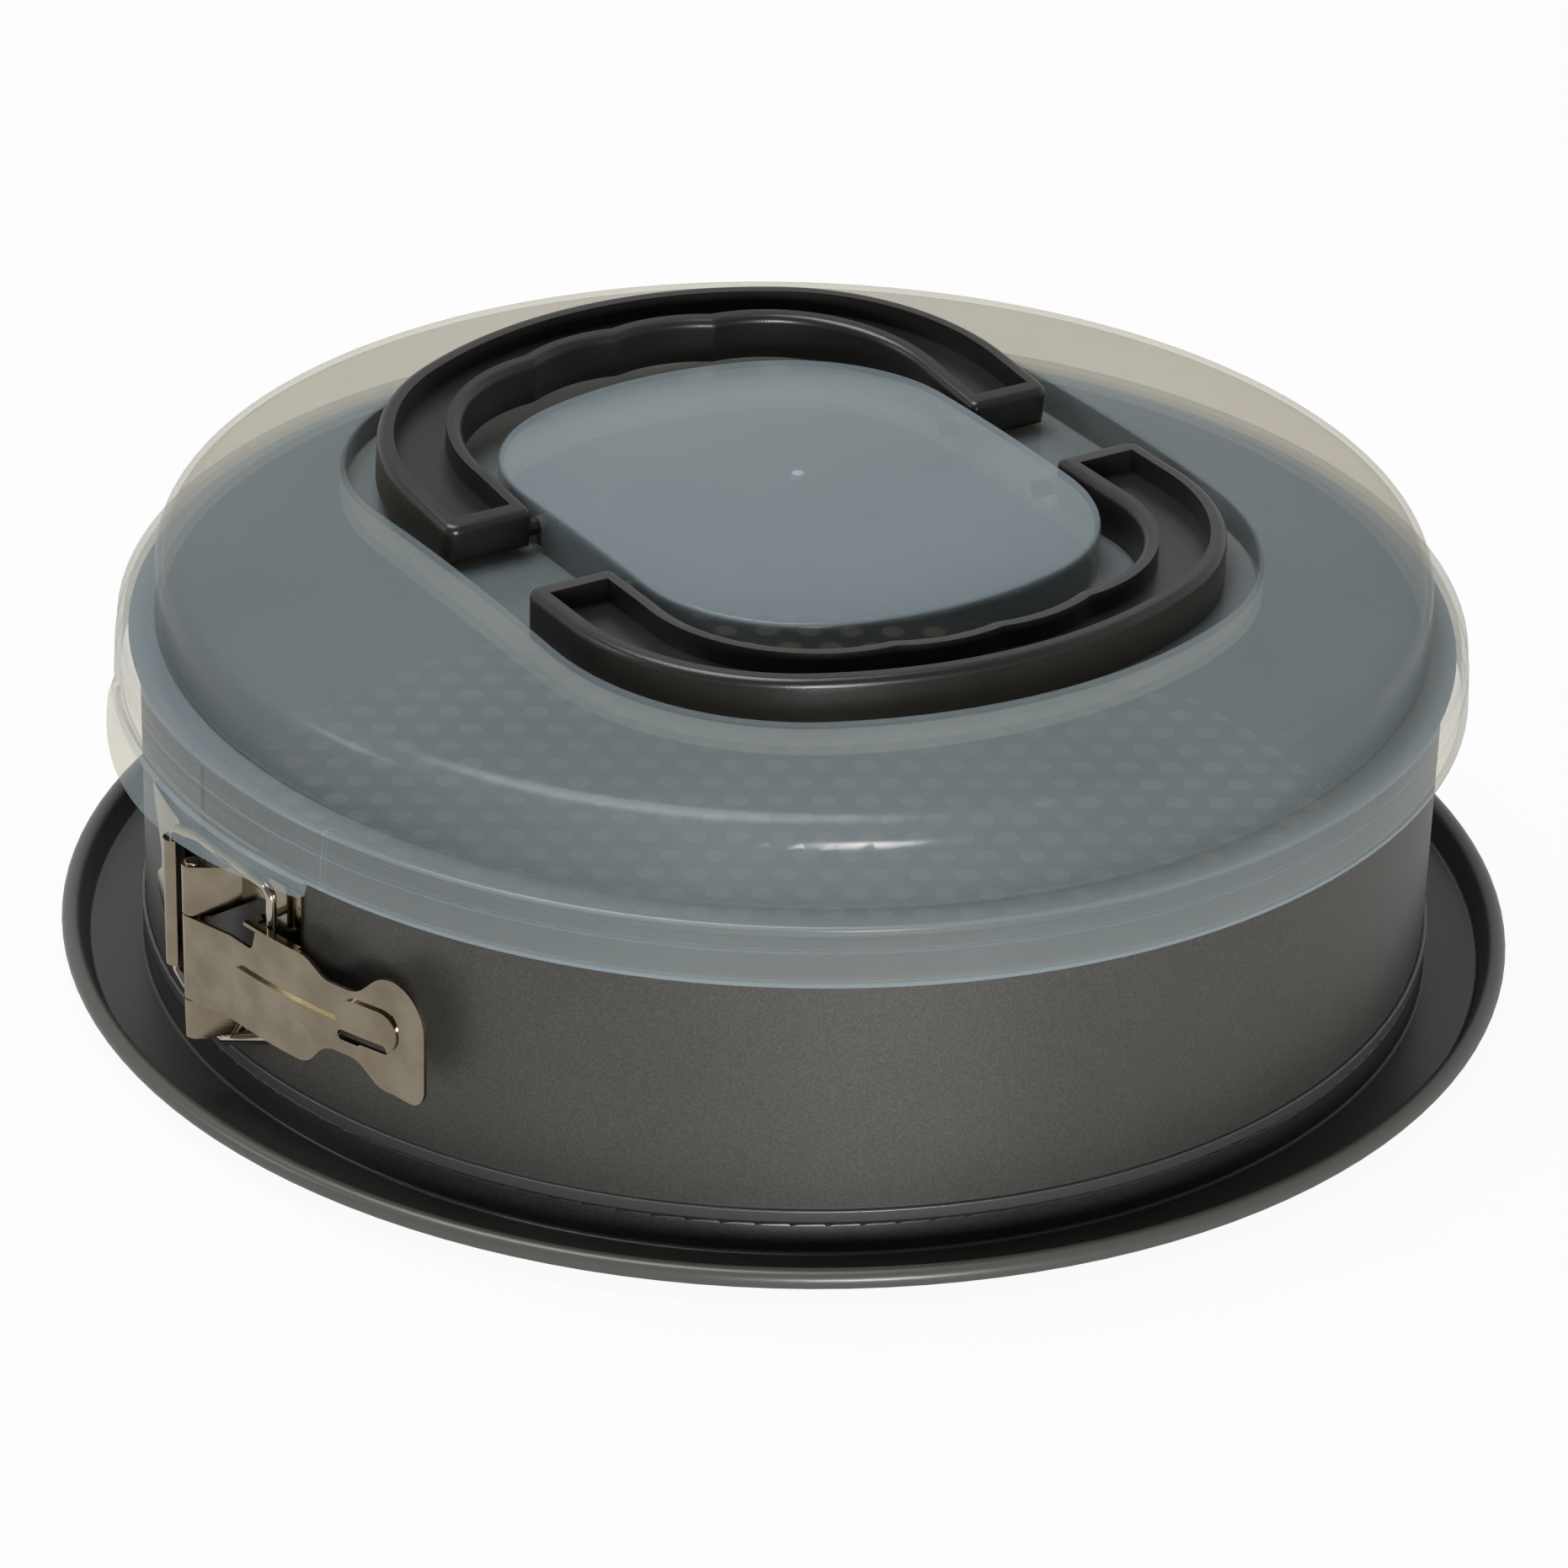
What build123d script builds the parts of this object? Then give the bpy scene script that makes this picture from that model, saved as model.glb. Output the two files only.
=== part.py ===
from build123d import *
from math import acos, atan2, cos, degrees, hypot, radians, sin, sqrt
import os

# Base tray, counted outwards and inwards from the ring's foot
tray_sheet = 0.6
tray_bend = 0.9
ledge_margin = 0.5
ledge_width = 2.2
ledge_height = 8.0
disc_rise = 2.2
gutter_width = 12.0
rim_reach = 6.0
rim_height = 7.1
rim_curl_radius = 2.1
rim_curl_gap = 62

# Ring
ring_radius = 140.6
ring_sheet = 0.7
ring_height = 68.0
bead_radius = 1.5
bead_gap = 62
hem_height = 2.7
hem_gap = 0.2
hem_web = 0.7
split_gap = 1.6
tongue_reach = 8.0
tongue_lap = 7.5
tongue_sheet = 0.6
tongue_gap = 0.12
tongue_margin = 4.0

# Latch layout, as arcs along the ring counted from the catch tube
latch_angle = 266
tube_to_split = 4.9
tube_to_pin = 16.3
tube_standoff = 4.4
pin_standoff = 8.0
bail_standoff = 3.6
bracket_sheet = 0.8
weld_gap = 0.05

# Hinge bracket and pin
hinge_foot = 7.2
lower_knuckle = 8.9
lever_knuckle = 19.6
upper_knuckle = 11.3
knuckle_gap = 0.3
knuckle_radius = 2.4
pin_radius = 1.2
pin_head_radius = 1.8
pin_head_height = 0.5
leaf_reach = 7.0
hinge_reach = 27.0
hinge_top = 2.1
hinge_lower_rise = 9.6
window_reach = 17.5
window_rise = 7.6

# Catch bracket
catch_foot = 15.5
catch_height = 29.6
tube_radius = 2.4
catch_leaf = 6.5
catch_reach = 26.0
catch_waist = 19.0
catch_lobe = 23.0

# Bail wire
wire_radius = 1.15
wire_bend = 2.4
wire_fit = 0.06
bail_low = 5.4
bail_seat_low = 14.6
bail_tip_low = 19.2
bail_high = 49.4
bail_tip_high = 39.2

# Lever
lever_sheet = 0.8
lever_standoff = 6.4
lever_length = 69.0
bail_seat = 22.1
lever_bore_fit = 0.05
bend_arc = 12.5
ear_height = 25.0
ear_start = 21.4
ear_corner = 1.4
ear_end = 36.5
neck_start = 42.0
neck_end = 50.4
neck_low = 6.3
neck_high = 21.5
neck_curve = 6.0
tab_start = 56.4
tab_low = 1.3
tab_high = 27.3
tab_low_corner = 4.5
tab_high_corner = 9.0
tip_bend_length = 9.5
tip_bend_angle = 12
hook_depth = 4.4
hook_width = 1.9
hook_clearance = 2.85
ear_strip = 1.2
ear_strip_length = 16.0
rib_start = 14.0
rib_end = 52.0
rib_width = 4.6
rib_rise = 0.7
rib_middle = 11.6
spoon_start = 45.5
spoon_end = 61.0
spoon_width = 9.4
spoon_middle = 15.0
slot_start = 46.0
slot_end = 58.5
slot_width = 2.3
slot_middle = 11.1

# Lid
seat_gap = 0.3
lid_wall = 1.3
lid_ring_gap = 1.0
skirt_depth = 12.8
skirt_taper = 0.7
skirt_step = 0.3
skirt_step_depth = 5.4
skirt_corner = 1.0
dome_inset = 3.3
dome_taper = 0.5
dome_rise = 30.2
crown_radius = 744
shoulder_radius = 7.0
recess_length = 200
recess_width = 163
recess_corner = 58
recess_end = 115
recess_depth = 13.0
well_end_width = 35.0
well_side_width = 27.75
plateau_corner = 38
plateau_end = 90
recess_edge = 1.0

# Lip over the latch and grip rib on the skirt
lip_flare = 5.8
lip_shift = 50
lip_drop = 4.5
lip_overlap = 1.4
lip_thickness = 1.5
lip_half_width = 49.4
lip_end_rise = 1.5
grip_rib_half_angle = 15
grip_rib_width = 3.9
grip_rib_rise = 0.8
grip_rib_height = 4.0

# Handles
handle_end_gap = 8.0
handle_side_gap = 5.0
handle_corner_step = 5.5
handle_end_step = 7.5
handle_height = 10.3
handle_round = 1.8
grip_gap = 9.0
arm_gap = 1.95
grip_corner_step = 6.0
handle_rim = 3.5
handle_channel = 5.0
handle_bar = 4.5
handle_foot = 16.0
foot_corner = 4.0
foot_outer_corner = 3.2
foot_inner_corner = 2.1
finger_depth = 2.4
finger_radius = 34
finger_margin = 9.7
finger_cusp = 3.2
pivot_from_foot = 2.25
pivot_height = 5.3
stub_radius = 2.0
stub_fit = 0.06
stub_length = 6.2
rear_handle_lift = 6

# Derived radii of the tray
ledge_radius = ring_radius + ledge_margin
disc_radius = ledge_radius - ledge_width
gutter_radius = ledge_radius + gutter_width
tray_radius = gutter_radius + rim_reach

# Derived plan sizes of the lid and its handles
dome_radius = ring_radius - dome_inset
plateau_length = recess_length - 2 * well_end_width
plateau_width = recess_width - 2 * well_side_width
handle_length = recess_length / 2 - handle_end_gap
handle_width = recess_width - 2 * handle_side_gap
handle_corner = recess_corner - handle_corner_step
handle_end = recess_end - handle_end_step
grip_inner_length = plateau_length / 2 + grip_gap
grip_corner = plateau_corner - grip_corner_step
grip_end = plateau_end

# Derived heights
ring_foot = ledge_height + 0.2
ring_top = ring_foot + ring_height
bead_outer = ring_radius - ring_sheet + 2 * bead_radius
ledge_underside = ring_top + seat_gap
lid_ledge = ledge_underside + lid_wall
skirt_foot = lid_ledge - skirt_depth
skirt_outer = bead_outer + lid_ring_gap + lid_wall
skirt_foot_outer = skirt_outer + skirt_taper + skirt_step
lip_radius = skirt_foot_outer + lip_flare - lip_shift
crown_top = lid_ledge + dome_rise
recess_floor = crown_top - recess_depth
pivot_z = recess_floor + pivot_height
pivot_x = handle_foot + pivot_from_foot
knuckle_foot = ring_foot + hinge_foot
lever_foot = knuckle_foot + lower_knuckle + knuckle_gap
lever_top = lever_foot + lever_knuckle
upper_foot = lever_top + knuckle_gap
knuckle_top = upper_foot + upper_knuckle

# Derived latch places
tube_circle = ring_radius + tube_standoff
pin_circle = ring_radius + pin_standoff
bail_circle = ring_radius + bail_standoff
lever_inner = ring_radius + lever_standoff
lever_outer = lever_inner + lever_sheet
plate_inner = ring_radius + weld_gap
plate_outer = plate_inner + bracket_sheet
split_angle = latch_angle + degrees(tube_to_split / ring_radius)
pin_angle = latch_angle + degrees(tube_to_pin / pin_circle)


def polar(radius, angle):
    return (radius * cos(radians(angle)), radius * sin(radians(angle)))


def facing(angle):
    return Plane(
        origin=(0, 0, 0),
        x_dir=(-sin(radians(angle)), cos(radians(angle)), 0),
        z_dir=(cos(radians(angle)), sin(radians(angle)), 0),
    )


def along_lever(arc):
    return pin_angle + degrees(arc / lever_outer)


def along_ring(arc):
    return pin_angle + degrees(arc / ring_radius)


def arc_band(inner, outer, start, end):
    """A curved strip between two radii and two angles."""
    with BuildSketch() as band:
        with BuildLine():
            CenterArc((0, 0), outer, start, end - start)
            CenterArc((0, 0), inner, start, end - start)
            Line(polar(inner, start), polar(outer, start))
            Line(polar(inner, end), polar(outer, end))
        make_face()
    return band.sketch


def strip(start, end, thickness):
    """A straight sheet seen on edge between two points."""
    length = hypot(end[0] - start[0], end[1] - start[1])
    side_x = -(end[1] - start[1]) / length * thickness / 2
    side_y = (end[0] - start[0]) / length * thickness / 2
    with BuildSketch() as sheet:
        with BuildLine():
            Polyline(
                (start[0] + side_x, start[1] + side_y),
                (end[0] + side_x, end[1] + side_y),
                (end[0] - side_x, end[1] - side_y),
                (start[0] - side_x, start[1] - side_y),
                close=True,
            )
        make_face()
    return sheet.sketch


def tangent_point(centre, radius, outside, side):
    """Where a straight sheet from the outside point meets a rolled eye."""
    reach = hypot(outside[0] - centre[0], outside[1] - centre[1])
    heading = atan2(outside[1] - centre[1], outside[0] - centre[0])
    turn = heading + side * acos(radius / reach)
    return (centre[0] + radius * cos(turn), centre[1] + radius * sin(turn))


def rounded_plan(half_length, half_width, corner, end):
    """The lid's rounded outline: bowed ends, round corners, straight sides."""
    corner_y = half_width - corner
    end_x = half_length - end
    corner_x = end_x + sqrt((end - corner) ** 2 - corner_y**2)
    half_end = degrees(atan2(corner_y, corner_x - end_x))
    with BuildSketch() as plan:
        with BuildLine():
            CenterArc((end_x, 0), end, -half_end, 2 * half_end)
            CenterArc((corner_x, corner_y), corner, half_end, 90 - half_end)
            Line((corner_x, half_width), (-corner_x, half_width))
            CenterArc((-corner_x, corner_y), corner, 90, 90 - half_end)
            CenterArc((-end_x, 0), end, 180 - half_end, 2 * half_end)
            CenterArc((-corner_x, -corner_y), corner, 180 + half_end, 90 - half_end)
            Line((-corner_x, -half_width), (corner_x, -half_width))
            CenterArc((corner_x, -corner_y), corner, 270, 90 - half_end)
        make_face()
    return plan.sketch


def crown_height(radius):
    return crown_top - crown_radius + sqrt(crown_radius**2 - radius**2)


def curl(centre_x, centre_y, radius, sheet, gap):
    """A rolled edge: an open tube of sheet, its end short of the wall."""
    with BuildSketch() as rolled:
        with Locations((centre_x, centre_y)):
            Circle(radius)
            Circle(radius - sheet, mode=Mode.SUBTRACT)
        with BuildLine():
            Polyline(
                (centre_x, centre_y),
                (centre_x - 2 * radius, centre_y - radius / 4),
                (centre_x - 2 * radius, centre_y - 2 * radius),
                (
                    centre_x - 2 * radius * cos(radians(gap)),
                    centre_y - 2 * radius * sin(radians(gap)),
                ),
                close=True,
            )
        make_face(mode=Mode.SUBTRACT)
    return rolled.sketch


# Base tray: one pressed sheet with disc, ledge, gutter and rolled rim
rim_centre = tray_radius - rim_curl_radius
rim_middle = rim_height - rim_curl_radius
disc_height = ledge_height + disc_rise
with BuildPart() as base_tray:
    with BuildSketch(Plane.XZ) as tray_section:
        with BuildLine():
            tray_skin = FilletPolyline(
                (0, disc_height),
                (disc_radius, disc_height),
                (disc_radius, ledge_height),
                (ledge_radius, ledge_height),
                (ledge_radius, tray_sheet),
                (gutter_radius, tray_sheet),
                (rim_centre - rim_curl_radius, rim_middle),
                radius=tray_bend,
            )
            offset(tray_skin, amount=tray_sheet, side=Side.RIGHT, mode=Mode.REPLACE)
        make_face()
        add(curl(rim_centre, rim_middle, rim_curl_radius, tray_sheet, rim_curl_gap))
    revolve(axis=Axis.Z)
base_tray.part.label = "base_tray"

# Ring: rolled band with hem, top bead, split and the tongue behind it
bead_centre = bead_outer - bead_radius
bead_middle = ring_top - bead_radius
hem_inner = ring_radius + hem_gap
hem_outer = hem_inner + ring_sheet
with BuildPart() as ring_band:
    with BuildSketch(Plane.XZ) as ring_section:
        with BuildLine():
            Polyline(
                (ring_radius - ring_sheet, bead_middle),
                (ring_radius - ring_sheet, ring_foot),
                (hem_outer, ring_foot),
                (hem_outer, ring_foot + hem_height),
                (hem_inner, ring_foot + hem_height),
                (hem_inner, ring_foot + hem_web),
                (ring_radius, ring_foot + hem_web),
                (ring_radius, bead_middle),
                close=True,
            )
        make_face()
        fillet(
            ring_section.vertices().filter_by(lambda v: v.X > hem_outer - 0.01),
            ring_sheet * 0.45,
        )
        add(curl(bead_centre, bead_middle, bead_radius, ring_sheet, bead_gap))
    revolve(axis=Axis.Z)
    with BuildSketch(Plane.XY.offset(ring_foot - 1)) as split_cut:
        with PolarLocations(ring_radius, 1, start_angle=split_angle):
            Rectangle(8 * bead_radius, split_gap)
    extrude(amount=ring_height + 2, mode=Mode.SUBTRACT)
    gap_turn = degrees(split_gap / 2 / ring_radius)
    lap_turn = degrees(tongue_lap / ring_radius)
    reach_turn = degrees(tongue_reach / ring_radius)
    tongue_outer = ring_radius - ring_sheet - tongue_gap
    with BuildSketch(Plane.XY.offset(ring_foot + tongue_margin)) as tongue:
        add(
            arc_band(
                tongue_outer - tongue_sheet,
                tongue_outer,
                split_angle - reach_turn,
                split_angle + gap_turn + lap_turn,
            )
        )
        add(
            arc_band(
                tongue_outer - tongue_sheet / 2,
                ring_radius - ring_sheet / 2,
                split_angle + gap_turn,
                split_angle + gap_turn + lap_turn,
            )
        )
    extrude(amount=bead_middle - ring_foot - 2 * tongue_margin)
ring_band.part.label = "ring_band"

# Hinge bracket: wall plate, slanted leaf and two rolled knuckles
pin_point = polar(pin_circle, pin_angle)
hinge_mid = (plate_inner + plate_outer) / 2
leaf_foot_point = polar(hinge_mid, along_ring(leaf_reach))
leaf_tip_point = tangent_point(
    pin_point, knuckle_radius - bracket_sheet / 2, leaf_foot_point, -1
)
hinge_face = facing(along_ring(hinge_reach / 2))


def across_hinge(arc):
    return ring_radius * sin(radians(along_ring(arc) - along_ring(hinge_reach / 2)))


with BuildPart() as hinge_bracket:
    with BuildSketch(Plane.XY.offset(knuckle_foot)) as hinge_plan:
        with Locations(pin_point):
            Circle(knuckle_radius)
        add(strip(leaf_foot_point, leaf_tip_point, bracket_sheet))
        add(
            arc_band(
                plate_inner, plate_outer, along_ring(leaf_reach), along_ring(hinge_reach)
            )
        )
        with Locations(pin_point):
            Circle(pin_radius, mode=Mode.SUBTRACT)
    extrude(amount=knuckle_top + hinge_top - knuckle_foot)
    with BuildSketch(hinge_face.offset(disc_radius)) as hinge_front:
        with BuildLine():
            Polyline(
                (across_hinge(-10), knuckle_foot),
                (across_hinge(knuckle_radius), knuckle_foot),
                (across_hinge(hinge_reach + 1), knuckle_foot + hinge_lower_rise),
                (across_hinge(hinge_reach + 1), knuckle_top + hinge_top),
                (across_hinge(window_reach), knuckle_top + hinge_top),
                (across_hinge(window_reach - 2), knuckle_top),
                (across_hinge(-10), knuckle_top),
                close=True,
            )
        make_face()
        with BuildLine():
            Polyline(
                (across_hinge(-10), lever_foot - knuckle_gap),
                (across_hinge(knuckle_radius + 1), lever_foot - knuckle_gap),
                (across_hinge(window_reach), lever_foot + hinge_lower_rise / 2),
                (across_hinge(window_reach), upper_foot + window_rise),
                (across_hinge(window_reach - 3), upper_foot + window_rise),
                (across_hinge(knuckle_radius + 1), upper_foot),
                (across_hinge(-10), upper_foot),
                close=True,
            )
        make_face(mode=Mode.SUBTRACT)
    extrude(amount=pin_circle - disc_radius + 5, mode=Mode.INTERSECT)
hinge_bracket.part.label = "hinge_bracket"

# Hinge pin with a flat head
with BuildPart() as hinge_pin:
    with BuildSketch(Plane.XY.offset(knuckle_foot)) as pin_shank:
        with Locations(pin_point):
            Circle(pin_radius)
    extrude(amount=knuckle_top - knuckle_foot)
    with BuildSketch(Plane.XY.offset(knuckle_top)) as pin_head:
        with Locations(pin_point):
            Circle(pin_head_radius)
    extrude(amount=pin_head_height)
    fillet(hinge_pin.edges().group_by(Axis.Z)[-1], pin_head_height * 0.6)
hinge_pin.part.label = "hinge_pin"

# Catch bracket: wall plate with wavy edge, rolled into a tube
tube_point = polar(tube_circle, latch_angle)


def before_tube(arc):
    return latch_angle - degrees(arc / ring_radius)


catch_face = facing(before_tube(catch_reach / 2))


def across_catch(arc):
    return ring_radius * sin(radians(before_tube(arc) - before_tube(catch_reach / 2)))


catch_low = ring_foot + catch_foot
catch_high = catch_low + catch_height
catch_leaf_point = polar(hinge_mid, before_tube(catch_leaf))
catch_tip_point = tangent_point(
    tube_point, tube_radius - bracket_sheet / 2, catch_leaf_point, -1
)
with BuildPart() as catch_bracket:
    with BuildSketch(Plane.XY.offset(catch_low)) as catch_plan:
        with Locations(tube_point):
            Circle(tube_radius)
        add(strip(catch_leaf_point, catch_tip_point, bracket_sheet))
        add(
            arc_band(
                plate_inner,
                plate_outer,
                before_tube(catch_reach),
                before_tube(catch_leaf),
            )
        )
        with Locations(tube_point):
            Circle(wire_radius + wire_fit, mode=Mode.SUBTRACT)
    extrude(amount=catch_height)
    with BuildSketch(catch_face.offset(disc_radius)) as catch_front:
        with BuildLine():
            Polyline(
                (across_catch(-10), catch_low),
                (across_catch(catch_waist - 3), catch_low),
                (across_catch(catch_waist), catch_low + 0.08 * catch_height),
                (across_catch(catch_lobe), catch_low + 0.18 * catch_height),
                (across_catch(catch_lobe), catch_low + 0.3 * catch_height),
                (across_catch(catch_waist), catch_low + 0.4 * catch_height),
                (across_catch(catch_waist), catch_low + 0.55 * catch_height),
                (across_catch(catch_reach), catch_high),
                (across_catch(-10), catch_high),
                close=True,
            )
        make_face()
        fillet(
            catch_front.vertices().filter_by(
                lambda v: v.X < across_catch(catch_waist - 5)
            ),
            1.2,
        )
    extrude(amount=tube_circle - disc_radius + 5, mode=Mode.INTERSECT)
catch_bracket.part.label = "catch_bracket"

# Bail wire, bent in one upright plane from the catch tube to the lever ears
bail_point = polar(bail_circle, along_lever(bail_seat))
bail_span = hypot(bail_point[0] - tube_point[0], bail_point[1] - tube_point[1])
bail_x = (bail_point[0] - tube_point[0]) / bail_span
bail_y = (bail_point[1] - tube_point[1]) / bail_span
pin_from_tube = hypot(pin_point[0] - tube_point[0], pin_point[1] - tube_point[1])
bail_plane = Plane(
    origin=(tube_point[0], tube_point[1], ring_foot),
    x_dir=(bail_x, bail_y, 0),
    z_dir=(bail_y, -bail_x, 0),
)
bail_corner_low = catch_foot - 0.63 * wire_bend
bail_corner_high = catch_foot + catch_height + 0.8 * wire_bend
with BuildPart() as bail_wire:
    with BuildLine(bail_plane) as bail_path:
        FilletPolyline(
            (bail_span, bail_tip_low),
            (bail_span, bail_seat_low),
            (pin_from_tube + knuckle_radius, bail_low),
            (pin_from_tube - knuckle_radius - 0.4, bail_low),
            (0, bail_corner_low),
            (0, bail_corner_high),
            (pin_from_tube - knuckle_radius - 4, bail_high),
            (bail_span, bail_high),
            (bail_span, bail_tip_high),
            radius=wire_bend,
        )
    with BuildSketch(Plane(bail_path.line @ 0, z_dir=bail_path.line % 0)) as wire_round:
        Circle(wire_radius)
    sweep(path=bail_path.wire())
bail_wire.part.label = "bail_wire"

# Lever: curved plate with rolled knuckle, folded ears, neck and finger tab
lever_mid_angle = along_lever(lever_length / 2)
lever_face = facing(lever_mid_angle)
bend_angle = along_lever(lever_length - tip_bend_length)
bend_heading = radians(bend_angle + 90 - tip_bend_angle)
bend_mid = polar(lever_inner + lever_sheet / 2, bend_angle)
bend_end = (
    bend_mid[0] + (tip_bend_length + 4) * cos(bend_heading),
    bend_mid[1] + (tip_bend_length + 4) * sin(bend_heading),
)
plate_start = polar(lever_inner + lever_sheet / 2, along_lever(bend_arc))
knuckle_side = tangent_point(
    pin_point, knuckle_radius - lever_sheet / 2, plate_start, -1
)
hook_end = bail_seat - hook_clearance
hook_start = hook_end - hook_width


def across_lever(arc):
    return lever_outer * sin(radians(along_lever(arc) - lever_mid_angle))


with BuildPart() as lever:
    with BuildSketch(Plane.XY.offset(lever_foot)) as lever_plan:
        with Locations(pin_point):
            Circle(knuckle_radius)
        add(strip(knuckle_side, plate_start, lever_sheet))
        with Locations(plate_start):
            Circle(lever_sheet / 2)
        add(arc_band(lever_inner, lever_outer, along_lever(bend_arc), bend_angle))
        add(strip(bend_mid, bend_end, lever_sheet))
        with Locations(bend_mid):
            Circle(lever_sheet / 2)
        with Locations(pin_point):
            Circle(pin_radius + lever_bore_fit, mode=Mode.SUBTRACT)
    extrude(amount=tab_high)
    with BuildSketch(lever_face.offset(disc_radius)) as lever_front:
        with BuildLine():
            Polyline(
                (across_lever(-5), lever_foot),
                (across_lever(ear_end), lever_foot),
                (across_lever(neck_start), lever_foot + neck_low),
                (across_lever(neck_end), lever_foot + neck_low),
                (across_lever(tab_start), lever_foot + tab_low),
                (across_lever(lever_length), lever_foot + tab_low),
                (across_lever(lever_length), lever_foot + tab_high),
                (across_lever(tab_start), lever_foot + tab_high),
                (across_lever(neck_end), lever_foot + neck_high),
                (across_lever(neck_start), lever_foot + neck_high),
                (across_lever(ear_end), lever_foot + ear_height),
                (across_lever(ear_start), lever_foot + ear_height),
                (across_lever(ear_start - ear_corner), lever_top),
                (across_lever(-5), lever_top),
                close=True,
            )
        make_face()
        for place, corner in ((-1, tab_high_corner), (0, tab_low_corner)):
            tab_tip = lever_front.vertices().filter_by(
                lambda v: v.X > across_lever(lever_length) - 0.01
            )
            fillet(tab_tip.sort_by(Axis.Y)[place], corner)
        fillet(
            lever_front.vertices().filter_by(
                lambda v: across_lever(ear_end - 1) < v.X < across_lever(tab_start + 0.1)
            ),
            neck_curve,
        )
        fillet(
            lever_front.vertices().filter_by(
                lambda v: across_lever(1) < v.X < across_lever(ear_start + 0.1)
            ),
            ear_corner,
        )
    extrude(amount=pin_circle - disc_radius + 15, mode=Mode.INTERSECT)
    for ear_level in (lever_foot, lever_foot + ear_height - lever_sheet):
        with BuildSketch(Plane.XY.offset(ear_level)) as ear:
            add(
                arc_band(
                    lever_inner - ear_strip,
                    lever_outer,
                    along_lever(hook_start),
                    along_lever(hook_start + ear_strip_length),
                )
            )
            add(
                arc_band(
                    lever_inner - hook_depth,
                    lever_outer,
                    along_lever(hook_start),
                    along_lever(hook_end),
                )
            )
        extrude(amount=lever_sheet)
    with BuildSketch(Plane.XY.offset(lever_foot)) as rib_plan:
        add(
            arc_band(
                lever_inner + lever_sheet / 2,
                lever_outer + rib_rise,
                along_lever(rib_start - 2),
                along_lever(spoon_end + 2),
            )
        )
    rib_length = across_lever(rib_end) - across_lever(rib_start)
    rib_centre = (across_lever(rib_end) + across_lever(rib_start)) / 2
    spoon_length = across_lever(spoon_end) - across_lever(spoon_start)
    spoon_centre = (across_lever(spoon_end) + across_lever(spoon_start)) / 2
    rib_solid = extrude(amount=ear_height, mode=Mode.PRIVATE)
    with BuildSketch(lever_face.offset(disc_radius)) as rib_front:
        with Locations((rib_centre, lever_foot + rib_middle)):
            SlotOverall(rib_length, rib_width)
        with Locations((spoon_centre, lever_foot + spoon_middle)):
            SlotOverall(spoon_length, spoon_width)
    rib_prism = extrude(amount=pin_circle - disc_radius + 15, mode=Mode.PRIVATE)
    add(rib_solid & rib_prism)
    with BuildSketch(Plane.XY.offset(lever_foot)) as groove_plan:
        add(
            arc_band(
                lever_inner - 1,
                lever_inner + rib_rise,
                along_lever(rib_start - 2),
                along_lever(spoon_end + 2),
            )
        )
    groove_solid = extrude(amount=ear_height, mode=Mode.PRIVATE)
    with BuildSketch(lever_face.offset(disc_radius)) as groove_front:
        with Locations((rib_centre, lever_foot + rib_middle)):
            SlotOverall(rib_length - 2 * lever_sheet, rib_width - 2 * lever_sheet)
        with Locations((spoon_centre, lever_foot + spoon_middle)):
            SlotOverall(spoon_length - 2 * lever_sheet, spoon_width - 2 * lever_sheet)
    groove_prism = extrude(amount=pin_circle - disc_radius + 15, mode=Mode.PRIVATE)
    add(groove_solid & groove_prism, mode=Mode.SUBTRACT)
    with BuildSketch(lever_face.offset(disc_radius)) as slot_front:
        with Locations(
            (
                (across_lever(slot_start) + across_lever(slot_end)) / 2,
                lever_foot + slot_middle,
            )
        ):
            SlotOverall(across_lever(slot_end) - across_lever(slot_start), slot_width)
    extrude(amount=pin_circle - disc_radius + 15, mode=Mode.SUBTRACT)
lever.part.label = "lever"

# Space under the lid, one wall thickness inside its outer skin
dome_inner = dome_radius - lid_wall
skirt_inner = skirt_outer - lid_wall
with BuildPart() as lid_space:
    with BuildSketch(Plane.XZ) as space_section:
        with BuildLine():
            space_crown = ThreePointArc(
                (0, crown_top - lid_wall),
                (dome_inner / 2, crown_height(dome_inner / 2) - lid_wall),
                (dome_inner - dome_taper, crown_height(dome_inner - dome_taper) - lid_wall),
            )
            Polyline(
                space_crown @ 1,
                (dome_inner, ledge_underside),
                (skirt_inner, ledge_underside),
                (skirt_foot_outer - lid_wall, skirt_foot - 1),
                (0, skirt_foot - 1),
                (0, crown_top - lid_wall),
            )
        make_face()
        fillet(
            space_section.vertices().sort_by_distance(
                (dome_inner - dome_taper, crown_height(dome_inner))
            )[0],
            shoulder_radius - lid_wall,
        )
    revolve(axis=Axis.Z)
    with BuildSketch(Plane.XY.offset(recess_floor - lid_wall)) as space_recess:
        add(
            rounded_plan(
                recess_length / 2 + lid_wall,
                recess_width / 2 + lid_wall,
                recess_corner + lid_wall,
                recess_end + lid_wall,
            )
        )
        add(
            rounded_plan(
                plateau_length / 2 - lid_wall,
                plateau_width / 2 - lid_wall,
                plateau_corner - lid_wall,
                plateau_end - lid_wall,
            ),
            mode=Mode.SUBTRACT,
        )
    extrude(amount=recess_depth + lid_wall, mode=Mode.SUBTRACT)

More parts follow.
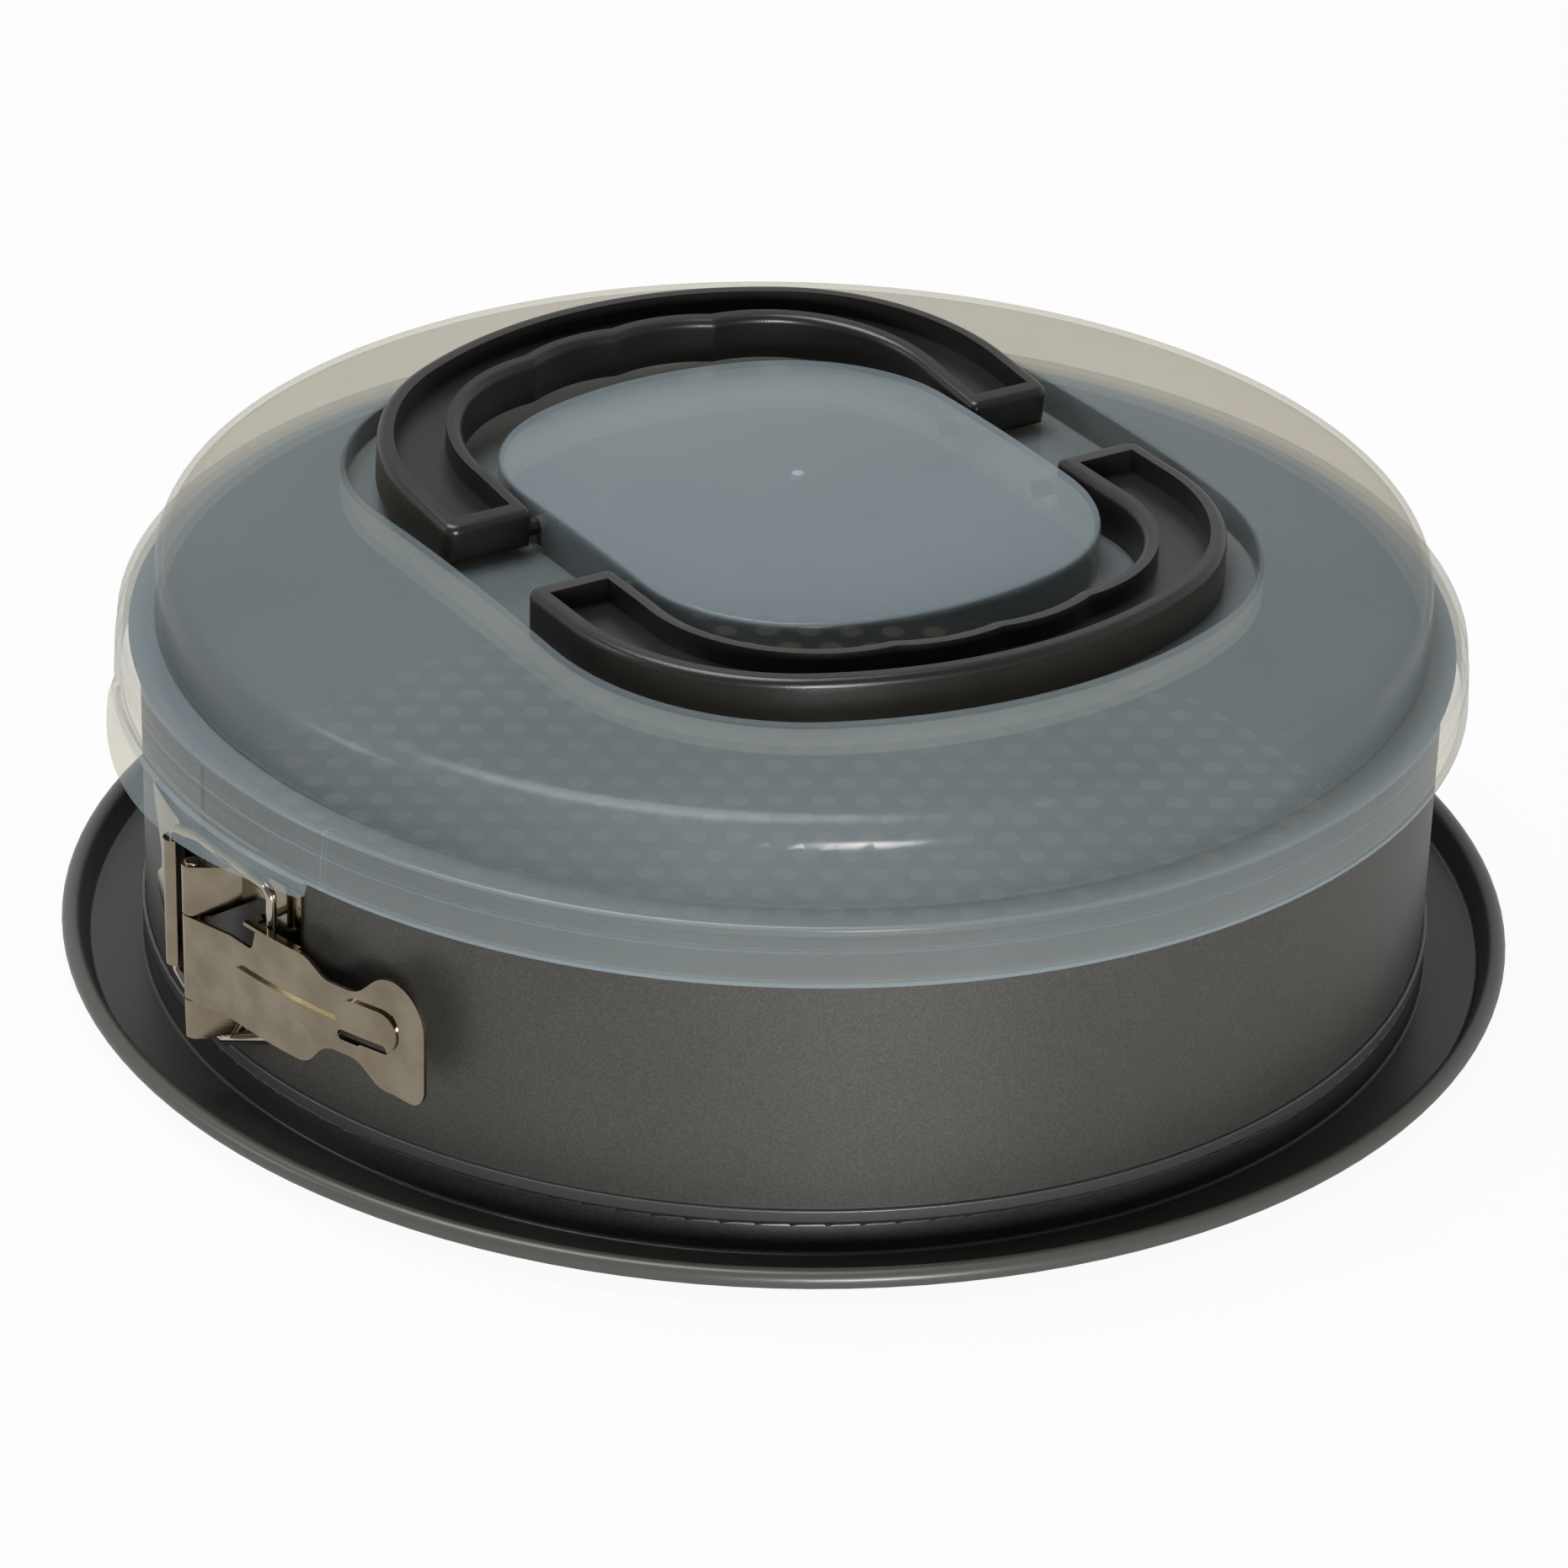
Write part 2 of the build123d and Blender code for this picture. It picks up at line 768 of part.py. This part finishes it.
# Lip over the latch, flared from the skirt on an oblique cone
latch_face = facing(latch_angle)
lip_low = skirt_foot - lip_drop
lip_high = skirt_foot + lip_overlap
lip_centre = polar(lip_shift, latch_angle)
with BuildPart() as latch_lip:
    with BuildSketch(Plane.XY.offset(lip_high)) as lip_root:
        Circle(skirt_foot_outer)
    with BuildSketch(Plane.XY.offset(lip_low)) as lip_edge:
        with Locations(lip_centre):
            Circle(lip_radius)
    loft()
    with BuildSketch(Plane.XY.offset(lip_high)) as lip_root_inner:
        Circle(skirt_foot_outer - lip_thickness)
    with BuildSketch(Plane.XY.offset(lip_low)) as lip_edge_inner:
        with Locations(lip_centre):
            Circle(lip_radius - lip_thickness)
    loft(mode=Mode.SUBTRACT)
    with BuildSketch(latch_face) as lip_front:
        with BuildLine():
            ThreePointArc(
                (-lip_half_width, lip_low + lip_end_rise),
                (0, lip_low),
                (lip_half_width, lip_low + lip_end_rise),
            )
            Polyline(
                (lip_half_width, lip_low + lip_end_rise),
                (lip_half_width, lip_high),
                (-lip_half_width, lip_high),
                (-lip_half_width, lip_low + lip_end_rise),
            )
        make_face()
    extrude(amount=tray_radius, mode=Mode.INTERSECT)
    with BuildSketch(Plane.XY.offset(lip_low)) as lip_clear:
        Circle(skirt_foot_outer - lid_wall)
    extrude(amount=lip_high - lip_low, mode=Mode.SUBTRACT)

# Grip rib on the skirt above the lip
rib_outer = skirt_foot_outer + grip_rib_rise
with BuildPart() as grip_rib:
    with BuildSketch(Plane.XY.offset(skirt_foot)) as grip_rib_plan:
        Circle(rib_outer)
        Circle(skirt_foot_outer - lid_wall / 2, mode=Mode.SUBTRACT)
    extrude(amount=skirt_depth)
    with BuildSketch(latch_face) as grip_rib_front:
        with Locations((0, skirt_foot + grip_rib_height)):
            SlotOverall(
                2 * skirt_foot_outer * sin(radians(grip_rib_half_angle)), grip_rib_width
            )
    extrude(amount=tray_radius, mode=Mode.INTERSECT)

# Lid: outer skin with recess and plateau, hollowed from below
stub_bore = stub_radius + stub_fit
with BuildPart() as lid_shell:
    with BuildSketch(Plane.XZ) as lid_section:
        with BuildLine():
            lid_crown = ThreePointArc(
                (0, crown_top),
                (dome_radius / 2, crown_height(dome_radius / 2)),
                (dome_radius - dome_taper, crown_height(dome_radius - dome_taper)),
            )
            Polyline(
                lid_crown @ 1,
                (dome_radius, lid_ledge),
                (skirt_outer, lid_ledge),
                (
                    skirt_outer + skirt_taper * skirt_step_depth / skirt_depth,
                    lid_ledge - skirt_step_depth,
                ),
                (
                    skirt_outer + skirt_taper * skirt_step_depth / skirt_depth + skirt_step,
                    lid_ledge - skirt_step_depth - skirt_step,
                ),
                (skirt_foot_outer, skirt_foot),
                (0, skirt_foot),
                (0, crown_top),
            )
        make_face()
        fillet(
            lid_section.vertices().sort_by_distance(
                (dome_radius - dome_taper, crown_height(dome_radius))
            )[0],
            shoulder_radius,
        )
        fillet(
            lid_section.vertices().sort_by_distance((skirt_outer, lid_ledge))[0],
            skirt_corner,
        )
    revolve(axis=Axis.Z)
    with BuildSketch(Plane.XY.offset(recess_floor)) as recess:
        add(
            rounded_plan(
                recess_length / 2, recess_width / 2, recess_corner, recess_end
            )
        )
        add(
            rounded_plan(
                plateau_length / 2, plateau_width / 2, plateau_corner, plateau_end
            ),
            mode=Mode.SUBTRACT,
        )
    extrude(amount=recess_depth + 1, mode=Mode.SUBTRACT)
    fillet(
        lid_shell.edges().filter_by(
            lambda e: e.bounding_box().min.Z > recess_floor + 1
            and e.bounding_box().max.X < recess_length / 2 + 1
            and e.bounding_box().min.X > -recess_length / 2 - 1
        ),
        recess_edge,
    )
    add(lid_space.part, mode=Mode.SUBTRACT)
    add(latch_lip.part)
    add(grip_rib.part)
    with BuildSketch(Plane.XZ) as pivot_slots:
        with Locations((pivot_x, pivot_z), (-pivot_x, pivot_z)):
            Circle(stub_bore)
        with Locations(
            (pivot_x, (pivot_z + recess_floor) / 2), (-pivot_x, (pivot_z + recess_floor) / 2)
        ):
            Rectangle(2 * stub_bore, pivot_z - recess_floor)
    extrude(amount=plateau_width / 2 + 1, both=True, mode=Mode.SUBTRACT)
lid_shell.part.label = "lid_shell"

# Handles: folding channel mouldings with finger scallops
arm_inner = plateau_width / 2 + arm_gap
finger_pitch = (arm_inner - finger_margin) / 2
finger_turn = degrees(finger_pitch / grip_end)


def handle_plan():
    """Plan of one handle, with the pivot axis as its left end's datum."""
    with BuildSketch() as plan:
        with Locations((-pivot_x, 0)):
            add(
                rounded_plan(
                    handle_length, handle_width / 2, handle_corner, handle_end
                )
            )
            add(
                rounded_plan(grip_inner_length, arm_inner, grip_corner, grip_end),
                mode=Mode.SUBTRACT,
            )
        centre_x = grip_inner_length - grip_end - pivot_x
        reach = grip_end + finger_depth - finger_radius
        for step in (-1.5, -0.5, 0.5, 1.5):
            turn = radians(step * finger_turn)
            with Locations((centre_x + reach * cos(turn), reach * sin(turn))):
                Circle(finger_radius, mode=Mode.SUBTRACT)
        with Locations((handle_length / 2 - pivot_from_foot, 0)):
            Rectangle(handle_length, handle_width + 2, mode=Mode.INTERSECT)
        cusps = plan.vertices().filter_by(
            lambda v: abs(v.Y) < 1.2 * finger_pitch and v.X < handle_length - pivot_x - 8
        )
        fillet(cusps, finger_cusp)
        foot_ends = plan.vertices().filter_by(lambda v: v.X < 0.01 - pivot_from_foot)
        fillet(
            foot_ends.filter_by(lambda v: abs(v.Y) > handle_width / 2 - handle_rim),
            foot_outer_corner,
        )
        foot_ends = plan.vertices().filter_by(lambda v: v.X < 0.01 - pivot_from_foot)
        fillet(
            foot_ends.filter_by(lambda v: abs(v.Y) < arm_inner + 0.01),
            foot_inner_corner,
        )
    return plan.sketch


def channel_plan():
    """Plan of the handle's open channel, one rim inside its outline."""
    with BuildSketch() as plan:
        add(handle_plan())
        offset(amount=-handle_rim)
        with Locations((handle_length / 2 + handle_bar - pivot_from_foot, 0)):
            Rectangle(handle_length, handle_width + 2, mode=Mode.INTERSECT)
    return plan.sketch


def handle_side():
    """Side view of one handle about its pivot, its foot rounded."""
    with BuildSketch() as side:
        with BuildLine():
            Polyline(
                (-pivot_from_foot, seat_gap - pivot_height),
                (handle_length, seat_gap - pivot_height),
                (handle_length, seat_gap - pivot_height + handle_height),
                (-pivot_from_foot, seat_gap - pivot_height + handle_height),
                close=True,
            )
        make_face()
        fillet(side.vertices().group_by(Axis.X)[0].sort_by(Axis.Y)[0], foot_corner)
    return side.sketch


handle_bottom = seat_gap - pivot_height
handle_top = handle_bottom + handle_height

right_plane = Plane(origin=(pivot_x, 0, pivot_z), x_dir=(1, 0, 0), z_dir=(0, 0, 1))
with BuildPart() as handle_right:
    with BuildSketch(right_plane.offset(handle_bottom)) as right_plan:
        add(handle_plan())
    extrude(amount=handle_height)
    with BuildSketch(
        Plane(origin=right_plane.origin, x_dir=right_plane.x_dir, z_dir=(0, -1, 0))
    ) as right_side:
        add(handle_side())
    extrude(amount=handle_width, both=True, mode=Mode.INTERSECT)
    right_top = handle_right.faces().sort_by(Axis(right_plane.origin, right_plane.z_dir))[-1]
    fillet(right_top.edges(), handle_round)
    with BuildSketch(right_plane.offset(handle_top)) as right_channel:
        add(channel_plan())
    extrude(amount=-handle_channel, mode=Mode.SUBTRACT)
    with BuildSketch(
        Plane(origin=right_plane.origin, x_dir=right_plane.x_dir, z_dir=(0, -1, 0))
    ) as right_stub:
        Circle(stub_radius)
    stub_far = arm_inner + handle_rim / 2
    extrude(amount=stub_far, both=True)
    with BuildSketch(
        Plane(origin=right_plane.origin, x_dir=right_plane.x_dir, z_dir=(0, -1, 0))
    ) as right_gap:
        Circle(stub_radius + 1)
    extrude(amount=arm_inner - stub_length, both=True, mode=Mode.SUBTRACT)
handle_right.part.label = "handle_right"

lift = radians(rear_handle_lift)
left_plane = Plane(
    origin=(-pivot_x, 0, pivot_z),
    x_dir=(-cos(lift), 0, sin(lift)),
    z_dir=(sin(lift), 0, cos(lift)),
)
with BuildPart() as handle_left:
    with BuildSketch(left_plane.offset(handle_bottom)) as left_plan:
        add(handle_plan())
    extrude(amount=handle_height)
    with BuildSketch(
        Plane(origin=left_plane.origin, x_dir=left_plane.x_dir, z_dir=(0, 1, 0))
    ) as left_side:
        add(handle_side())
    extrude(amount=handle_width, both=True, mode=Mode.INTERSECT)
    left_top = handle_left.faces().sort_by(Axis(left_plane.origin, left_plane.z_dir))[-1]
    fillet(left_top.edges(), handle_round)
    with BuildSketch(left_plane.offset(handle_top)) as left_channel:
        add(channel_plan())
    extrude(amount=-handle_channel, mode=Mode.SUBTRACT)
    with BuildSketch(
        Plane(origin=left_plane.origin, x_dir=left_plane.x_dir, z_dir=(0, 1, 0))
    ) as left_stub:
        Circle(stub_radius)
    extrude(amount=stub_far, both=True)
    with BuildSketch(
        Plane(origin=left_plane.origin, x_dir=left_plane.x_dir, z_dir=(0, 1, 0))
    ) as left_gap:
        Circle(stub_radius + 1)
    extrude(amount=arm_inner - stub_length, both=True, mode=Mode.SUBTRACT)
handle_left.part.label = "handle_left"

# One file for each piece
os.makedirs("parts", exist_ok=True)
export_step(base_tray.part, "parts/base_tray.step")
export_step(ring_band.part, "parts/ring_band.step")
export_step(hinge_bracket.part, "parts/hinge_bracket.step")
export_step(hinge_pin.part, "parts/hinge_pin.step")
export_step(catch_bracket.part, "parts/catch_bracket.step")
export_step(bail_wire.part, "parts/bail_wire.step")
export_step(lever.part, "parts/lever.step")
export_step(lid_shell.part, "parts/lid_shell.step")
export_step(handle_right.part, "parts/handle_right.step")
export_step(handle_left.part, "parts/handle_left.step")
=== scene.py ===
import math

import bpy
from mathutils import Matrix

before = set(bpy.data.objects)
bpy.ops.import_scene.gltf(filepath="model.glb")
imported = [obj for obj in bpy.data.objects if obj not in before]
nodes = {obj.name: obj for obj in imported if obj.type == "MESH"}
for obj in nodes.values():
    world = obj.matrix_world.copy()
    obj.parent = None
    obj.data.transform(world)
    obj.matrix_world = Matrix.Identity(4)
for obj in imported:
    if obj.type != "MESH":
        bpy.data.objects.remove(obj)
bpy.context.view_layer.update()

# Camera
# A long lens from the latch side of the front handle, a little above the lid,
# as the pan was photographed.
camera_lens = bpy.data.cameras.new("pan_camera")
camera_lens.lens = 135.3
camera_lens.sensor_width = 36.0
camera_lens.clip_start = 0.05
camera_lens.clip_end = 60.0
camera = bpy.data.objects.new("pan_camera", camera_lens)
camera.location = (0.95922, -0.62293, 0.63612)
camera.rotation_euler = (1.085216, -0.026687, 1.009683)
bpy.context.scene.collection.objects.link(camera)
bpy.context.scene.camera = camera
bpy.context.scene.view_settings.view_transform = "Standard"


# Table and studio light
# A white sweep under the pan, in a pale room that is brighter behind it. One soft
# lamp stands low in front, a large one hangs over the pan, and a weak one fills
# its left side.
class Signal:
    """A shader socket that takes part in Python arithmetic."""

    def __init__(self, tree, socket=None):
        self.tree = tree
        self.socket = socket

    def make(self, kind, settings=None, values=None, outlet=0):
        """A new node with its settings and sockets. Gives one of its outlets."""
        made = self.tree.nodes.new("ShaderNode" + kind)
        for name, value in (settings or {}).items():
            setattr(made, name, value)
        for name, value in (values or {}).items():
            if isinstance(value, Signal):
                self.tree.links.new(value.socket, made.inputs[name])
            else:
                made.inputs[name].default_value = value
        return Signal(self.tree, made.outputs[outlet] if outlet is not None else None)

    def maths(self, operation, *others):
        values = {0: self, **{i + 1: v for i, v in enumerate(others)}}
        return self.make("Math", {"operation": operation}, values)

    def __add__(self, other):
        return self.maths("ADD", other)

    __radd__ = __add__

    def __mul__(self, other):
        return self.maths("MULTIPLY", other)

    __rmul__ = __mul__

    def __sub__(self, other):
        return self.maths("SUBTRACT", other)

    def __rsub__(self, other):
        return self * -1.0 + other

    def __truediv__(self, other):
        return self.maths("DIVIDE", other)

    def __pow__(self, other):
        return self.maths("POWER", other)

    def part(self, index):
        """One of the numbers of a split vector."""
        return Signal(self.tree, self.socket.node.outputs[index])

    def rise(self, low, high):
        """0 below low, 1 above high, smooth between."""
        return self.make(
            "MapRange",
            {"interpolation_type": "SMOOTHSTEP"},
            {"Value": self, "From Min": low, "From Max": high},
        )

    def blend(self, tone_a, tone_b):
        """tone_a where this is 0, tone_b where it is 1."""
        return self.make(
            "Mix", {"data_type": "RGBA"}, {0: self, 6: tone_a, 7: tone_b}, 2
        )


def finish_on(name, *pieces):
    """A new empty material, given to the pieces."""
    made = bpy.data.materials.new(name)
    made.use_nodes = True
    made.node_tree.nodes.clear()
    for piece in pieces:
        piece.data.materials.clear()
        piece.data.materials.append(made)
    return Signal(made.node_tree)


floor_reach = 6.0
floor_top = -0.0002
floor_mesh = bpy.data.meshes.new("table_sweep")
floor = bpy.data.objects.new("table_sweep", floor_mesh)
bpy.context.scene.collection.objects.link(floor)
floor_mesh.from_pydata(
    [
        (side * floor_reach, end * floor_reach, floor_top)
        for side, end in ((-1, -1), (1, -1), (1, 1), (-1, 1))
    ],
    [],
    [(0, 1, 2, 3)],
)
start = finish_on("white_table", floor)
white_to_camera = 0.94
white_to_clear = 0.9
white_to_gloss = 0.25
shown = start.make("LightPath", outlet="Is Camera Ray")
for ray, share in (
    ("Is Transmission Ray", white_to_clear),
    ("Is Glossy Ray", white_to_gloss),
):
    shown = shown + start.make("LightPath", outlet=ray) * share
lit = start.make("BsdfDiffuse", {}, {"Color": (0.60, 0.60, 0.60, 1)})
white = start.make("Emission", {}, {"Color": (1, 1, 1, 1), "Strength": 1.0})
seen = start.make("MixShader", {}, {0: shown * white_to_camera, 1: lit, 2: white})
start.make("OutputMaterial", {}, {"Surface": seen}, None)

# The room glows evenly, and more on its low wall behind the pan
behind_north, behind_west = 0.545, 0.839
wall_edge = 0.45
wall_top, ceiling = 0.50, 0.80
wall_glow = 0.45
room_glow = 0.22
world = bpy.data.worlds.new("white_room")
world.use_nodes = True
world.node_tree.nodes.clear()
bpy.context.scene.world = world
start = Signal(world.node_tree)
camera_ray = start.make("LightPath", outlet="Is Camera Ray")
heading = start.make("TexCoord", outlet="Generated")
heading = start.make("SeparateXYZ", {}, {"Vector": heading})
behind = heading.part(1) * behind_north - heading.part(0) * behind_west
low_wall = 1 - heading.part(2).rise(wall_top, ceiling)
glow = behind.rise(-wall_edge, wall_edge) * low_wall * wall_glow + room_glow
room = start.make(
    "Background",
    {},
    {
        "Color": (0.98, 0.99, 1.0, 1),
        "Strength": camera_ray + (1 - camera_ray) * glow,
    },
)
start.make("OutputWorld", {}, {"Surface": room}, None)

lamp_aim = 0.06
for lamp_name, place, size, power in (
    ("front_softbox", (2.00, -0.72, 0.25), 0.50, 36),
    ("top_softbox", (-0.45, -0.25, 2.3), 1.5, 46),
    ("side_softbox", (-0.9, -1.9, 1.0), 0.6, 5),
):
    lamp_data = bpy.data.lights.new(lamp_name, "AREA")
    lamp_data.shape = "DISK"
    lamp_data.size = size
    lamp_data.energy = power
    lamp = bpy.data.objects.new(lamp_name, lamp_data)
    lamp.location = place
    lamp.rotation_euler = (
        math.atan2(math.hypot(place[0], place[1]), place[2] - lamp_aim),
        0,
        math.atan2(place[0], -place[1]),
    )
    bpy.context.scene.collection.objects.link(lamp)


# Base tray
# One pressed steel sheet with a dark satin non-stick coat. It carries the ring
# on a ledge, catches drips in its gutter and ends in a rolled rim.
def smooth_pressing(piece, angle):
    """Round faces shade as one, and folds sharper than the angle stay crisp."""
    joined = piece.modifiers.new("joined_seams", "WELD")
    joined.merge_threshold = 0.000004
    folds = piece.modifiers.new("crisp_folds", "EDGE_SPLIT")
    folds.split_angle = math.radians(angle)
    for face in piece.data.polygons:
        face.use_smooth = True


def pan_places(start):
    """The pan's own coordinates, as a vector and as east, north and height."""
    place = start.make("TexCoord", outlet="Object")
    axes = start.make("SeparateXYZ", {}, {"Vector": place})
    return place, axes.part(0), axes.part(1), axes.part(2)


def distance(east, north):
    return (east * east + north * north).maths("SQRT")


def noise(start, place, scale, detail):
    """Soft random cells, each about one metre over the scale."""
    return start.make(
        "TexNoise", {}, {"Vector": place, "Scale": scale, "Detail": detail}
    )


def relief(start, strength, depth, height):
    return start.make(
        "Bump", {}, {"Strength": strength, "Distance": depth, "Height": height}
    )


def coat_with(start, values):
    """Ends a material in one opaque coat."""
    coat = start.make("BsdfPrincipled", {}, values)
    start.make("OutputMaterial", {}, {"Surface": coat}, None)


tray = nodes["base_tray"]
smooth_pressing(tray, 32)
start = finish_on("tray_coat", tray)
place, east, north, height = pan_places(start)
radius = distance(east, north)
speck = noise(start, place, 1500, 2)
mottle = noise(start, place, 60, 4)

# The pan floor's pressed dimples, in two staggered grids
dimple_pitch = 0.010
row_pitch = 0.0174
dimple_core, dimple_edge = 0.0022, 0.0034
grids = []
for shift in (0.0, 0.5):
    column = (east / dimple_pitch + shift).maths("FRACT") - 0.5
    row = (north / row_pitch + shift).maths("FRACT") - 0.5
    grids.append(distance(column * dimple_pitch, row * row_pitch))
dimple = 1 - grids[0].maths("MINIMUM", grids[1]).rise(dimple_core, dimple_edge)
pan_floor = (1 - radius.rise(0.131, 0.132)) * height.rise(0.0094, 0.0100)
pressed = dimple * pan_floor

# The rolled rim is painted a lighter tone, a painted highlight along its crest, and
# its roughness is lowered a little.
rim_painted_highlight = radius.rise(0.1545, 0.1580)
coat_tone = (speck.rise(0.35, 0.7) * 0.6 + mottle * 0.4).blend(
    (0.014, 0.0135, 0.012, 1), (0.030, 0.029, 0.026, 1)
)
coat_tone = (rim_painted_highlight * 0.8).blend(coat_tone, (0.080, 0.078, 0.070, 1))
coat_tone = (pressed * 0.9).blend(coat_tone, (0.115, 0.115, 0.112, 1))
coat_with(
    start,
    {
        "Base Color": coat_tone,
        "Roughness": mottle * 0.08 + 0.31 - rim_painted_highlight * 0.03,
        "IOR": 1.5,
        "Normal": relief(
            start, 0.30, 0.00015, speck * 0.3 + mottle * 0.5 - pressed * 3.0
        ),
    },
)

# Ring
# A rolled strip of coated steel, split at the latch, hemmed at its foot and
# beaded at its top. Its coat has a fine pebbled grain.
ring = nodes["ring_band"]
smooth_pressing(ring, 32)
start = finish_on("ring_coat", ring)
place, east, north, height = pan_places(start)
pebble = noise(start, place, 1900, 2)
clouds = noise(start, place, 28, 5)
# The ring's hemmed foot is painted a lighter, bluer tone, a painted highlight for the
# bright lines along it, and it is made less rough.
hem_painted_highlight = 1 - height.rise(0.0108, 0.0114)
coat_tone = (pebble.rise(0.38, 0.66) * 0.55 + clouds * 0.45).blend(
    (0.064, 0.062, 0.056, 1), (0.106, 0.102, 0.093, 1)
)
coat_tone = (hem_painted_highlight * 0.7).blend(coat_tone, (0.13, 0.13, 0.135, 1))
coat_with(
    start,
    {
        "Base Color": coat_tone,
        "Metallic": 0.6,
        "Roughness": clouds * 0.06 + 0.46 - hem_painted_highlight * 0.12,
        "IOR": 1.45,
        "Normal": relief(start, 0.28, 0.00012, pebble * 0.7 + clouds * 0.3),
    },
)


# Latch pressings and hinge pin
# Bright stamped steel with a warm nickel tint: the two welded brackets, the
# hinge pin, and the lever with its folded ears, rib and finger tab.
def bright_steel(name, warm, cool, dull, *pieces):
    """Stamped bright steel with fine rolling marks along the ring."""
    start = finish_on(name, *pieces)
    place = start.make("TexCoord", outlet="Object")
    rolled = start.make(
        "Mapping", {}, {"Vector": place, "Scale": (300.0, 300.0, 5200.0)}
    )
    marks = noise(start, rolled, 1.0, 3)
    stain = noise(start, place, 120, 4)
    coat_with(
        start,
        {
            "Base Color": (stain.rise(0.3, 0.7) * 0.7 + marks * 0.3).blend(warm, cool),
            "Metallic": 1.0,
            "Roughness": marks * 0.08 + stain * 0.09 + dull,
            "Normal": relief(start, 0.10, 0.00006, marks),
        },
    )


pressings = [
    nodes[name] for name in ("hinge_bracket", "catch_bracket", "hinge_pin", "lever")
]
for pressing in pressings:
    smooth_pressing(pressing, 30)
bright_steel(
    "latch_steel",
    (0.21, 0.176, 0.124, 1),
    (0.31, 0.268, 0.198, 1),
    0.03,
    *pressings,
)

# Bail wire
# Drawn steel wire, bent into an open loop that turns in the catch tube and
# reaches over to the lever's ears.
smooth_pressing(nodes["bail_wire"], 50)
bright_steel(
    "bail_wire_steel",
    (0.36, 0.32, 0.24, 1),
    (0.55, 0.50, 0.42, 1),
    0.06,
    nodes["bail_wire"],
)

# Lid
# One moulding of translucent smoky plastic: it scatters a cool grey of its own
# and lets a warmer light through. Its gate mark is in the middle of the plateau.
lid = nodes["lid_shell"]
smooth_pressing(lid, 32)
start = finish_on("smoky_lid_plastic", lid)
place, east, north, height = pan_places(start)
radius = distance(east, north)
flow = noise(start, place, 16, 3)
skin = noise(start, place, 420, 2)

# Marks of the mould: a parting line down the skirt, and the gate with its ring
seam_angle = math.radians(-72.5)
seam_start, seam_full = 0.1405, 0.1430
off_seam = (north.maths("ARCTAN2", east) - seam_angle).maths("ABSOLUTE")
seam = (1 - off_seam.rise(0.0008, 0.0022)) * radius.rise(seam_start, seam_full)
plateau = height.rise(0.1035, 0.1055)
gate = (1 - radius.rise(0.0009, 0.0017)) * plateau
gate_ring_radius = 0.0048
off_gate_ring = (radius - gate_ring_radius).maths("ABSOLUTE")
gate_ring = (1 - off_gate_ring.rise(0.0002, 0.0008)) * plateau

# Plastic is milkier where it is seen edge on, and in thin bands at three edges, where
# it is thicker. These bands also paint pale highlight lines along the edges.
grazing = start.make("LayerWeight", {}, {"Blend": 0.5}, "Facing")
milk_and_painted_light = flow * 0.06 + 0.21 + seam * 0.15 + gate * 0.5 + grazing**6 * 0.35
for edge_height, edge_width, edge_milk_and_highlight in (
    (0.0654, 0.0006, 0.30),
    (0.0724, 0.0003, 0.12),
    (0.0775, 0.0005, 0.18),
):
    off_edge = (height - edge_height).maths("ABSOLUTE")
    milk_and_painted_light = milk_and_painted_light + (1 - off_edge.rise(edge_width * 0.5, edge_width)) * edge_milk_and_highlight
# The whole plateau is made milkier and so lighter, a painted reflection of the room on
# it.
milk_and_painted_light = milk_and_painted_light + plateau * 0.13

ripple = flow * 2.0 + skin * 0.004 + seam * 0.8 - gate * 1.4 + gate_ring * 0.8
surface = start.make(
    "BsdfPrincipled",
    {},
    {
        "Base Color": flow.blend((0.262, 0.338, 0.388, 1), (0.322, 0.388, 0.428, 1)),
        "Roughness": skin * 0.02 + 0.19,
        "IOR": 1.49,
        "Normal": relief(start, 0.16, 0.0002, ripple),
    },
)
through = start.make("BsdfTransparent", {}, {"Color": (1.0, 0.955, 0.875, 1)})
body = start.make("MixShader", {}, {0: milk_and_painted_light, 1: through, 2: surface})
start.make("OutputMaterial", {}, {"Surface": body}, None)

# Handles
# Two like channel mouldings in black satin plastic, each with finger scallops
# on its grip and a round stub on each arm that turns in the lid's slots.
handles = [nodes[name] for name in ("handle_left", "handle_right")]
for handle in handles:
    smooth_pressing(handle, 32)
start = finish_on("black_handle_plastic", *handles)
place = start.make("TexCoord", outlet="Object")
spark = noise(start, place, 2600, 1)
haze = noise(start, place, 45, 4)
coat_with(
    start,
    {
        "Base Color": (haze * 0.7 + spark * 0.3).blend(
            (0.006, 0.0056, 0.0050, 1), (0.014, 0.0130, 0.0115, 1)
        ),
        "Roughness": haze * 0.12 + 0.27,
        "IOR": 1.5,
        "Normal": relief(start, 0.35, 0.00008, spark + haze * 0.3),
    },
)
